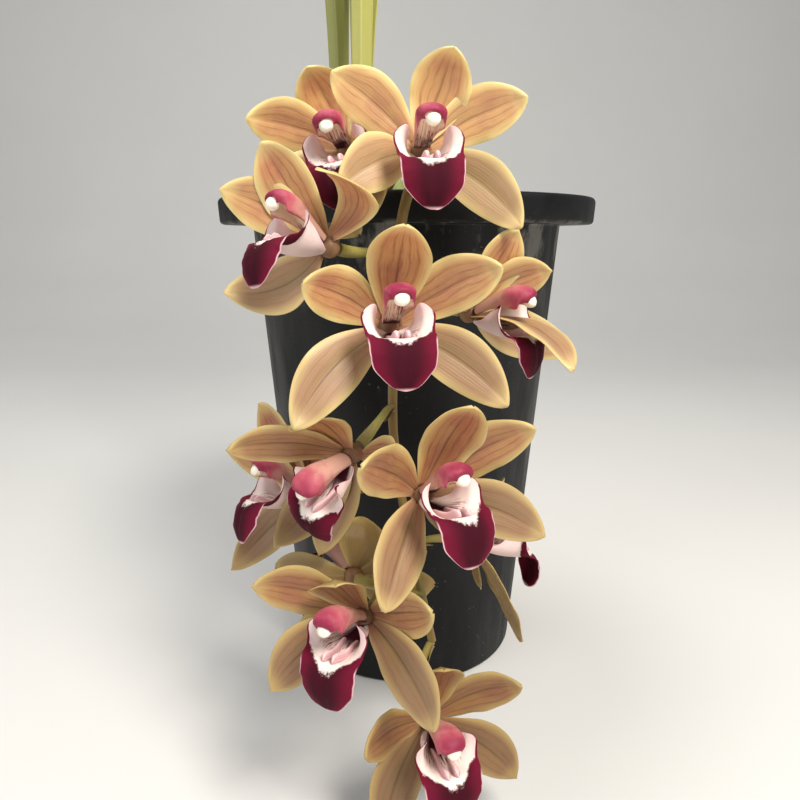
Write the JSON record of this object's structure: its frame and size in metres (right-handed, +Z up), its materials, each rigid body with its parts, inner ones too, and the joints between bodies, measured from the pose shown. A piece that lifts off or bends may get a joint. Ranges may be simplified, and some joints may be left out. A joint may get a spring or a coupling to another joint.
{
  "type": "potted orchid",
  "caption": "Orchid in a round tapered nursery pot, with strap leaves and an arching spike of waxy blooms that hangs over the rim.",
  "frame": {"origin": "centre of the pot's base, in the plane of the surface it stands on", "axes": "+Z up along the pot's axis, -Y to the side that the spike hangs over and the blooms face, +X to the right seen from there"},
  "size_m": [0.2072, 0.3997, 0.6157],
  "materials": {
    "pot_plastic": "matte",
    "bark": "matte",
    "pseudobulb": "satin",
    "leaf": "satin",
    "stem": "satin",
    "tepal": "satin",
    "lip": "satin",
    "column": "satin"
  },
  "bodies": {
    "root": {"pot": "pot_plastic", "potting_medium": "bark", "pseudobulb_front": "pseudobulb", "pseudobulb_front_leaf_1": "leaf", "pseudobulb_front_leaf_2": "leaf", "pseudobulb_front_leaf_3": "leaf", "pseudobulb_front_leaf_4": "leaf", "pseudobulb_front_leaf_5": "leaf", "pseudobulb_middle": "pseudobulb", "pseudobulb_middle_leaf_1": "leaf", "pseudobulb_middle_leaf_2": "leaf", "pseudobulb_middle_leaf_3": "leaf", "pseudobulb_middle_leaf_4": "leaf", "pseudobulb_back": "pseudobulb", "flower_spike": "stem", "bloom_1_tepals": "tepal", "bloom_1_lip": "lip", "bloom_1_column": "column", "bloom_2_tepals": "tepal", "bloom_2_lip": "lip", "bloom_2_column": "column", "bloom_3_tepals": "tepal", "bloom_3_lip": "lip", "bloom_3_column": "column", "bloom_4_tepals": "tepal", "bloom_4_lip": "lip", "bloom_4_column": "column", "bloom_5_tepals": "tepal", "bloom_5_lip": "lip", "bloom_5_column": "column", "bloom_6_tepals": "tepal", "bloom_6_lip": "lip", "bloom_6_column": "column", "bloom_7_tepals": "tepal", "bloom_7_lip": "lip", "bloom_7_column": "column", "bloom_8_tepals": "tepal", "bloom_8_lip": "lip", "bloom_8_column": "column", "bloom_9_tepals": "tepal", "bloom_9_lip": "lip", "bloom_9_column": "column", "bloom_10_tepals": "tepal", "bloom_10_lip": "lip", "bloom_10_column": "column", "bloom_11_tepals": "tepal", "bloom_11_lip": "lip", "bloom_11_column": "column", "bloom_12_tepals": "tepal", "bloom_12_lip": "lip", "bloom_12_column": "column"}
  },
  "joints": []
}
